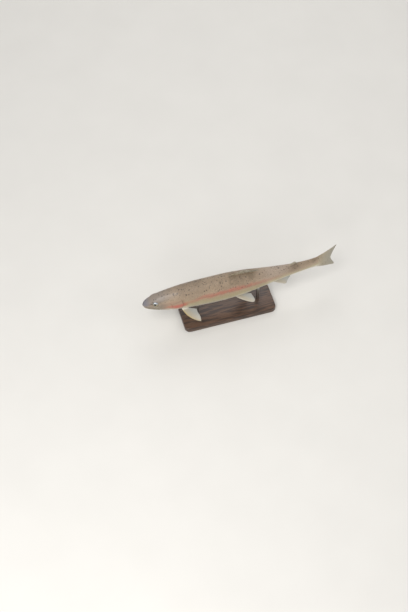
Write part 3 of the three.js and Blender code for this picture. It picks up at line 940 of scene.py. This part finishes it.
def markings_group():
    """The trout's colours, with painted shadow beside the dorsal fin, by place on the straight fish,
    shared by skin and scales.
    """
    group, w, given, out = new_group(
        "trout_markings",
        dict(Place="Vector", Height="Float", Stripe="Float", Fin="Vector", Spotted="Float"),
        dict(Color="Color", Silver="Float"))
    place_at = given["Place"]
    u, _, z = w.split(place_at)
    fin_s, fin_t, fin_amount = w.split(given["Fin"])
    cloud = w.math("SUBTRACT", w.noise(place_at, 60, 3), 0.5)
    fine = w.noise(place_at, 420, 3)

    # from the cream belly over the silvery flank to the olive back
    height = w.math("ADD", given["Height"], w.times(cloud, 0.24))
    body = w.ramp(
        w.math("ADD", w.times(height, 0.5), 0.5),
        (0.0, BELLY_CREAM), (0.17, BELLY_EDGE), (0.33, LOWER_FLANK), (0.45, FLANK),
        (0.58, UPPER_FLANK), (0.76, BACK), (1.0, RIDGE))
    mottle = w.span(w.noise(place_at, 38, 5, 0.62), 0.44, 0.64)
    upper = w.span(height, -0.05, 0.5)
    body = w.mix(w.times(mottle, upper, 0.34), body, MOTTLE)

    # paler towards the tail, darker on the shoulders and along the tail stalk
    hind = w.times(w.span(u, 0.24, 0.3), w.span(u, 0.345, 0.315))
    body = w.mix(w.times(upper, hind, 0.44), body, HIND_FLANK)
    shoulder = w.times(w.span(u, 0.05, 0.075), w.span(u, 0.15, 0.11))
    stalk = w.times(w.span(u, 0.315, 0.345), w.span(u, 0.372, 0.342))
    dusk = w.times(w.math("MAXIMUM", shoulder, stalk), w.span(height, -0.35, 0.2))
    body = w.mix(w.times(dusk, 0.19), body, DUSK)

    # painted shadow of the dorsal fin: a dark patch beside each end of its root
    from_first, from_second = (w.math("ABSOLUTE", w.math("SUBTRACT", u, at)) for at in DORSAL_SHADOW_MIDDLES)
    # the painted shadow is kept to the upper flank and broken up by noise
    dorsal_fin_shadow = w.span(w.math("MINIMUM", from_first, from_second), 0.014, 0.004)
    dorsal_fin_shadow = w.times(dorsal_fin_shadow, w.span(given["Height"], 0.42, 0.7))
    dorsal_fin_shadow = w.times(dorsal_fin_shadow, w.span(w.noise(place_at, 70, 3, 0.55), 0.35, 0.6))
    body = w.mix(w.times(dorsal_fin_shadow, 0.5), body, MOTTLE)

    # the head: a blue-grey crown, silvery cheeks and a pale jaw
    head = w.span(u, 0.08, 0.035)
    crown = w.times(head, w.span(height, 0.1, 0.65))
    body = w.mix(w.times(crown, 0.75), body, CROWN_GREY)
    snout = w.times(w.span(u, 0.02, 0.002), w.span(z, -0.003, 0.001))
    body = w.mix(w.times(snout, 0.6), body, SNOUT_GREY)
    cheek = w.times(w.span(u, 0.03, 0.046), w.span(u, 0.092, 0.082))
    cheek = w.times(cheek, w.span(height, 0.34, -0.05), w.span(height, -0.8, -0.4))
    body = w.mix(w.times(cheek, 0.7), body, CHEEK_SILVER)
    face = w.times(w.span(u, 0.06, 0.035), w.span(height, 0.45, 0.0))
    body = w.mix(w.times(face, 0.75), body, FACE_GREY)
    over_mouth = w.math("ADD", z, w.times(u, 0.2))
    jaw = w.times(w.span(u, 0.085, 0.036), w.span(over_mouth, -0.0024, -0.0046))
    body = w.mix(w.times(jaw, 0.8), body, JAW_CREAM)

    # the rosy stripe, broken up a little, and brightest on the gill cover
    away = w.math("ABSOLUTE", w.math("ADD", given["Stripe"], w.times(cloud, 1.8)))
    band = w.span(away, 1.2, 0.1)
    along = w.times(w.span(u, 0.036, 0.074), w.span(u, 0.335, 0.2))
    on_cover = w.times(w.span(u, 0.1, 0.084), 0.5)
    flush = w.math("ADD", on_cover, w.span(u, 0.11, 0.16, 0.36, 0.6))
    patchy = w.span(w.noise(place_at, 110, 3, 0.6), 0.25, 0.6, 0.72, 1.0)
    body = w.mix(w.times(band, along, flush, patchy), body, STRIPE_ROSE)

    # small dark spots, thick on the back, the back fins and the tail
    shake = w.node("TexNoise", Vector=place_at, Scale=420.0)
    shifted = w.node("VectorMath", dict(operation="MULTIPLY_ADD"))
    for socket, value in zip(shifted.inputs, (shake.outputs["Color"], (0.003,) * 3, place_at)):
        w.put(socket, value)
    spotty_body = w.times(w.span(height, -0.08, 0.55), w.rest(fin_amount))
    spotty_fin = w.times(fin_amount, given["Spotted"])
    share = w.math("ADD", w.times(spotty_body, 0.44), w.times(spotty_fin, 0.55))
    spots = 0.0
    for pitch, wide in ((155.0, 0.17), (225.0, 0.16)):
        cells = w.node("TexVoronoi", Vector=shifted.outputs[0], Scale=pitch)
        chance, size, _ = w.split(cells.outputs["Color"])
        chosen = w.span(w.math("SUBTRACT", chance, w.rest(share)), 0.0, 0.03)
        edge = w.math("ADD", w.times(size, 0.15), wide)
        dot = w.span(w.math("SUBTRACT", cells.outputs["Distance"], edge), 0.06, -0.06)
        spots = w.math("MAXIMUM", spots, w.times(chosen, dot))

    # the fins: cream with an amber lead on the paired and anal fins, olive on the others
    lead = w.mix(w.span(u, 0.15, 0.13), FIN_TIP, FIN_AMBER)
    pale = w.mix(w.span(fin_s, 0.2, 0.0), FIN_CREAM, lead)
    pale = w.mix(w.times(w.span(fin_t, 0.45, 1.0), 0.6), pale, FIN_TIP)
    behind = w.math("ADD", fin_s, w.times(fin_t, 0.5))
    pale = w.mix(w.times(w.span(behind, 0.5, 1.1), 0.62), pale, FIN_HAZE)
    olive = w.mix(w.span(fin_t, 0.15, 1.0), FIN_OLIVE, FIN_OLIVE_TIP)
    blotch = w.times(w.span(w.noise(place_at, 150, 3, 0.6), 0.5, 0.64), w.span(u, 0.3, 0.26))
    olive = w.mix(w.times(blotch, 0.6), olive, MOTTLE)
    webs = w.mix(given["Spotted"], pale, olive)
    colour = w.mix(fin_amount, body, webs)
    colour = w.mix(w.times(spots, 0.66), colour, SPOT_BROWN)
    colour = w.mix(w.times(fine, 0.12), colour, MOTTLE)
    freckles = w.node("TexVoronoi", Vector=shifted.outputs[0], Scale=800.0).outputs["Distance"]
    peppered = w.times(w.span(freckles, 0.3, 0.12), w.span(height, -0.1, 0.5))
    colour = w.mix(w.times(peppered, 0.3), colour, SPOT_BROWN)
    w.put(out["Color"], colour)
    bright = w.times(w.span(height, 0.55, -0.05), w.rest(fin_amount))
    w.put(out["Silver"], w.times(bright, w.rest(spots)))
    return group


def new_material(name, **settings):
    """A material whose shader has these plain values, its wiring, and the shader's inputs."""
    material = bpy.data.materials.new(name)
    material.use_nodes = True
    w = Wiring(material.node_tree)
    shader = next(n for n in material.node_tree.nodes if n.type == "BSDF_PRINCIPLED")
    for key, value in settings.items():
        shader.inputs[key.replace("_", " ")].default_value = value
    return material, w, shader.inputs


def marked(w, group):
    """Places the markings group in a material, fed by the piece's own stored values."""
    return w.node(
        "Group", dict(node_tree=group), Place=w.attribute("place"), Height=w.attribute("height", "Fac"),
        Stripe=w.attribute("stripe", "Fac"), Fin=w.attribute("fin"),
        Spotted=w.attribute("spotted", "Fac")).outputs


def skin_finish(group):
    """Wet skin: the markings, painted shade in the grooves and folds, and webs and joints between and
    along the fins' rays.
    """
    material, w, shader = new_material("trout_skin", Coat_Weight=0.18, Coat_Roughness=0.28)
    marks = marked(w, group)
    place_at = w.attribute("place")
    _, t, amount = w.split(w.attribute("fin"))
    ray = w.attribute("ray", "Fac")
    webs = w.times(amount, w.rest(ray), 0.42)
    colour = w.mix(webs, marks["Color"], FIN_WEB)
    # painted shade: grooves and folds darkened by their depth
    painted_groove_shade = w.times(w.attribute("groove", "Fac"), 0.62)
    w.put(shader["Base Color"], w.mix(painted_groove_shade, colour, GROOVE_SHADE_BROWN))
    w.put(shader["Metallic"], w.times(marks["Silver"], 0.25))
    w.put(shader["Roughness"], w.span(w.noise(place_at, 260, 3), 0.3, 0.7, 0.38, 0.56))
    pores = w.noise(place_at, 1100, 2)
    creases = w.noise(place_at, 240, 4, 0.6)
    joints = w.times(w.math("SINE", w.times(t, 260.0)), amount, ray, 0.15)
    bumps = w.math("ADD", w.times(pores, 0.3), w.times(creases, 0.9))
    height = w.math("ADD", bumps, joints)
    bump = w.node("Bump", Strength=0.35, Distance=0.0003, Height=height)
    w.put(shader["Normal"], bump.outputs[0])
    return material


def scale_finish(group):
    """Silvery scales: the markings, a darker rim, growth rings and the pores of the lateral line."""
    material, w, shader = new_material("trout_scales", Coat_Weight=0.3, Coat_Roughness=0.12)
    marks = marked(w, group)
    a, b, chance = w.split(w.attribute("scale"))
    from_middle = w.distance(a, b)
    tint = w.node("HueSaturation", Value=w.span(chance, 0.0, 1.0, 0.96, 1.16), Color=marks["Color"])
    u = w.split(w.attribute("place"))[0]
    depth = w.span(w.attribute("height", "Fac"), -0.3, 0.6, 0.06, 0.26)
    depth = w.times(depth, w.span(u, 0.068, 0.1, 0.15, 1.0))
    rim = w.times(w.span(from_middle, 0.74, 1.0), depth)
    colour = w.mix(rim, tint.outputs[0], MOTTLE)
    pore = w.times(w.attribute("pore", "Fac"), w.span(w.math("ABSOLUTE", b), 0.4, 0.15))
    w.put(shader["Base Color"], w.mix(w.times(pore, 0.5), colour, MOTTLE))
    w.put(shader["Metallic"], w.span(marks["Silver"], 0.0, 1.0, 0.1, 0.42))
    w.put(shader["Roughness"], w.span(chance, 0.0, 1.0, 0.28, 0.46))
    rings = w.math("SINE", w.times(from_middle, 46.0))
    bump = w.node("Bump", Strength=0.12, Distance=0.00005, Height=rings)
    w.put(shader["Normal"], bump.outputs[0])
    return material


def eye_finish():
    """A flecked iris with a painted reflection of the sky paling its upper half, and a pear-shaped pupil
    in a fine bright ring.
    """
    material, w, shader = new_material("trout_eye", Roughness=0.25, Coat_Weight=1.0, Coat_Roughness=0.02)
    local = w.attribute("iris")
    x, y, _ = w.split(local)
    across = w.math("ADD", x, PUPIL_AHEAD)
    in_front = w.math("MINIMUM", across, 0.0)
    pupil = w.distance(w.math("ADD", across, w.times(in_front, -0.28)), y)
    away = w.distance(x, y)
    flecks = w.noise(local, 1.5, 5, 0.68)
    iris = w.ramp(w.span(flecks, 0.3, 0.7), (0.0, IRIS_DARK), (0.45, IRIS_PEWTER), (1.0, IRIS_LIGHT))
    dark = w.times(w.span(flecks, 0.46, 0.6), w.span(away, 3.0, 5.6))
    iris = w.mix(w.times(dark, 0.7), iris, IRIS_FLECK)
    # painted reflection of the sky: the upper half of the iris paled to a bluish white
    iris = w.mix(w.times(w.span(y, 0.6, 3.6), 0.75), iris, IRIS_PAINTED_REFLECTION)
    ring = w.times(w.span(pupil, 2.6, 2.8), w.span(pupil, 3.4, 2.9))
    iris = w.mix(w.times(ring, 0.6), iris, PUPIL_RING)
    colour = w.mix(w.span(away, 5.5, 6.3), iris, EYE_RIM)
    colour = w.mix(w.span(pupil, 2.75, 2.6), colour, PUPIL_BLACK)
    w.put(shader["Base Color"], colour)
    w.put(shader["Metallic"], w.times(w.span(pupil, 2.6, 2.9), 0.3))
    return material


# ---- finishes of the stand ----
def wood_finish():
    material, w, shader = new_material("stained_wood", Coat_Weight=0.15, Coat_Roughness=0.3)
    warp = w.noise(w.stretched((5.0, 60.0, 60.0)), 1.2, 4, 0.6)
    bands = w.math("SINE", w.times(warp, 42.0))
    streaks = w.noise(w.stretched((30.0, 900.0, 900.0)), 1.0, 5, 0.7)
    grain = w.math("ADD", w.times(bands, 0.25), streaks)
    colour = w.ramp(w.span(grain, 0.2, 0.9), (0.0, WOOD_DARK), (0.5, WOOD_BROWN), (1.0, WOOD_LIGHT))
    w.put(shader["Base Color"], colour)
    w.put(shader["Roughness"], w.span(streaks, 0.3, 0.7, 0.5, 0.36))
    bump = w.node("Bump", Strength=0.3, Distance=0.0003, Height=streaks)
    w.put(shader["Normal"], bump.outputs[0])
    return material


def rod_finish():
    material, w, shader = new_material("brushed_steel", Metallic=1.0)
    lines = w.noise(w.stretched((1500.0, 1500.0, 25.0)), 1.0, 3)
    w.put(shader["Base Color"], w.mix(lines, STEEL_DARK, STEEL_LIGHT))
    w.put(shader["Roughness"], w.span(lines, 0.3, 0.7, 0.24, 0.4))
    bump = w.node("Bump", Strength=0.15, Distance=0.0001, Height=lines)
    w.put(shader["Normal"], bump.outputs[0])
    return material


def dress(piece, material, slot, *nodes):
    """Gives a piece its finish and hides the solid parts that it stands for; the slot is not used."""
    piece.data.materials.clear()
    piece.data.materials.append(material)
    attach(piece, "root")
    if nodes:
        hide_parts(*nodes)


# ---- setting ----
FLOOR_SIZE = 80
LAMP_AIM = (0, 0, 0.08)


def make_floor():
    """A plain pale floor, with the faintest cloudiness."""
    deselect()
    bpy.ops.mesh.primitive_plane_add(size=FLOOR_SIZE)
    floor = added("floor")
    material, w, shader = new_material("pale_floor", Roughness=0.85)
    at = w.node("TexCoord").outputs["Object"]
    w.put(shader["Base Color"], w.mix(w.noise(at, 9, 2), FLOOR_GREY, FLOOR_PALE))
    floor.data.materials.append(material)


def soft_light(name, size, watts, place_at, aim=LAMP_AIM):
    """A round soft lamp, turned to shine from its place to its aim."""
    lamp = bpy.data.lights.new(name, "AREA")
    lamp.shape, lamp.size, lamp.energy = "DISK", size, watts
    holder = bpy.data.objects.new(name, lamp)
    holder.location = place_at
    x, y, z = (to - start for to, start in zip(aim, place_at))
    holder.rotation_euler = (math.atan2(math.hypot(x, y), -z), 0, math.atan2(y, x) - math.pi / 2)
    bpy.context.collection.objects.link(holder)


def make_lights():
    """A pale studio, brighter overhead than at the horizon, and soft lamps.

    The key lamp is on the fish's left, and the small one in front gives its eye a catch light.
    """
    bpy.context.scene.view_settings.view_transform = "Standard"
    world = bpy.data.worlds.new("studio")
    bpy.context.scene.world = world
    world.use_nodes = True
    w = Wiring(world.node_tree)
    _, _, up = w.split(w.node("TexCoord").outputs["Generated"])
    backdrop = world.node_tree.nodes["Background"]
    w.put(backdrop.inputs["Color"], w.mix(w.span(up, 0.0, 0.8), HORIZON_GREY, SKY_WHITE))
    backdrop.inputs["Strength"].default_value = 0.7
    soft_light("key", 1.1, 21, (-0.9, -0.8, 1.9))
    soft_light("fill", 1.4, 5, (1.2, -0.9, 1.4))
    soft_light("rear", 1.2, 7, (0.5, 1.4, 1.5))
    soft_light("eye", 0.34, 3.6, (-0.76, -1.15, 0.7), (-0.15, 0, 0.09))


CAMERA_AZIMUTH = -16.45
CAMERA_HEIGHT_ANGLE = 56
CAMERA_DISTANCE = 3.233
CAMERA_AIM = (-0.0466, 0.0208, 0)
CAMERA_LENS = 85
CAMERA_SENSOR = 36


def make_camera():
    """The camera, level, looking down at the fish's left side."""
    a, e = math.radians(CAMERA_AZIMUTH), math.radians(CAMERA_HEIGHT_ANGLE)
    data = bpy.data.cameras.new("camera")
    data.lens = CAMERA_LENS
    data.sensor_width = data.sensor_height = CAMERA_SENSOR
    data.sensor_fit = "AUTO"
    camera = bpy.data.objects.new("camera", data)
    towards = (math.sin(a) * math.cos(e), -math.cos(a) * math.cos(e), math.sin(e))
    camera.location = [aim + CAMERA_DISTANCE * part for aim, part in zip(CAMERA_AIM, towards)]
    camera.rotation_euler = (math.pi / 2 - e, 0, a)
    bpy.context.collection.objects.link(camera)
    bpy.context.scene.camera = camera


# ---- the model ----
FLESH = ["head", "lower_jaw", "gill_cover_left", "gill_cover_right", "trunk", "tail_stalk", "dorsal_fin",
         "adipose_fin", "anal_fin", "caudal_fin", "pectoral_fin_left", "pectoral_fin_right",
         "pelvic_fin_left", "pelvic_fin_right"]

make_camera()
make_lights()
make_floor()
markings = markings_group()
dress(make_skin(), skin_finish(markings), "skin", *FLESH)
scale_look = scale_finish(markings)
for coat in make_scales():
    dress(coat, scale_look, "skin")
eye_look = eye_finish()
for side_name, side in (("left", -1), ("right", 1)):
    dress(make_eye(f"eyeball_{side_name}", side), eye_look, "eye", f"eye_{side_name}")
dress(stand_board(), wood_finish(), "stand_base", "stand_base")
rod_look = rod_finish()
for end, at in ROD_STATIONS.items():
    dress(stand_post(f"stand_post_{end}", at), rod_look, "stand_rod", f"stand_rod_{end}")
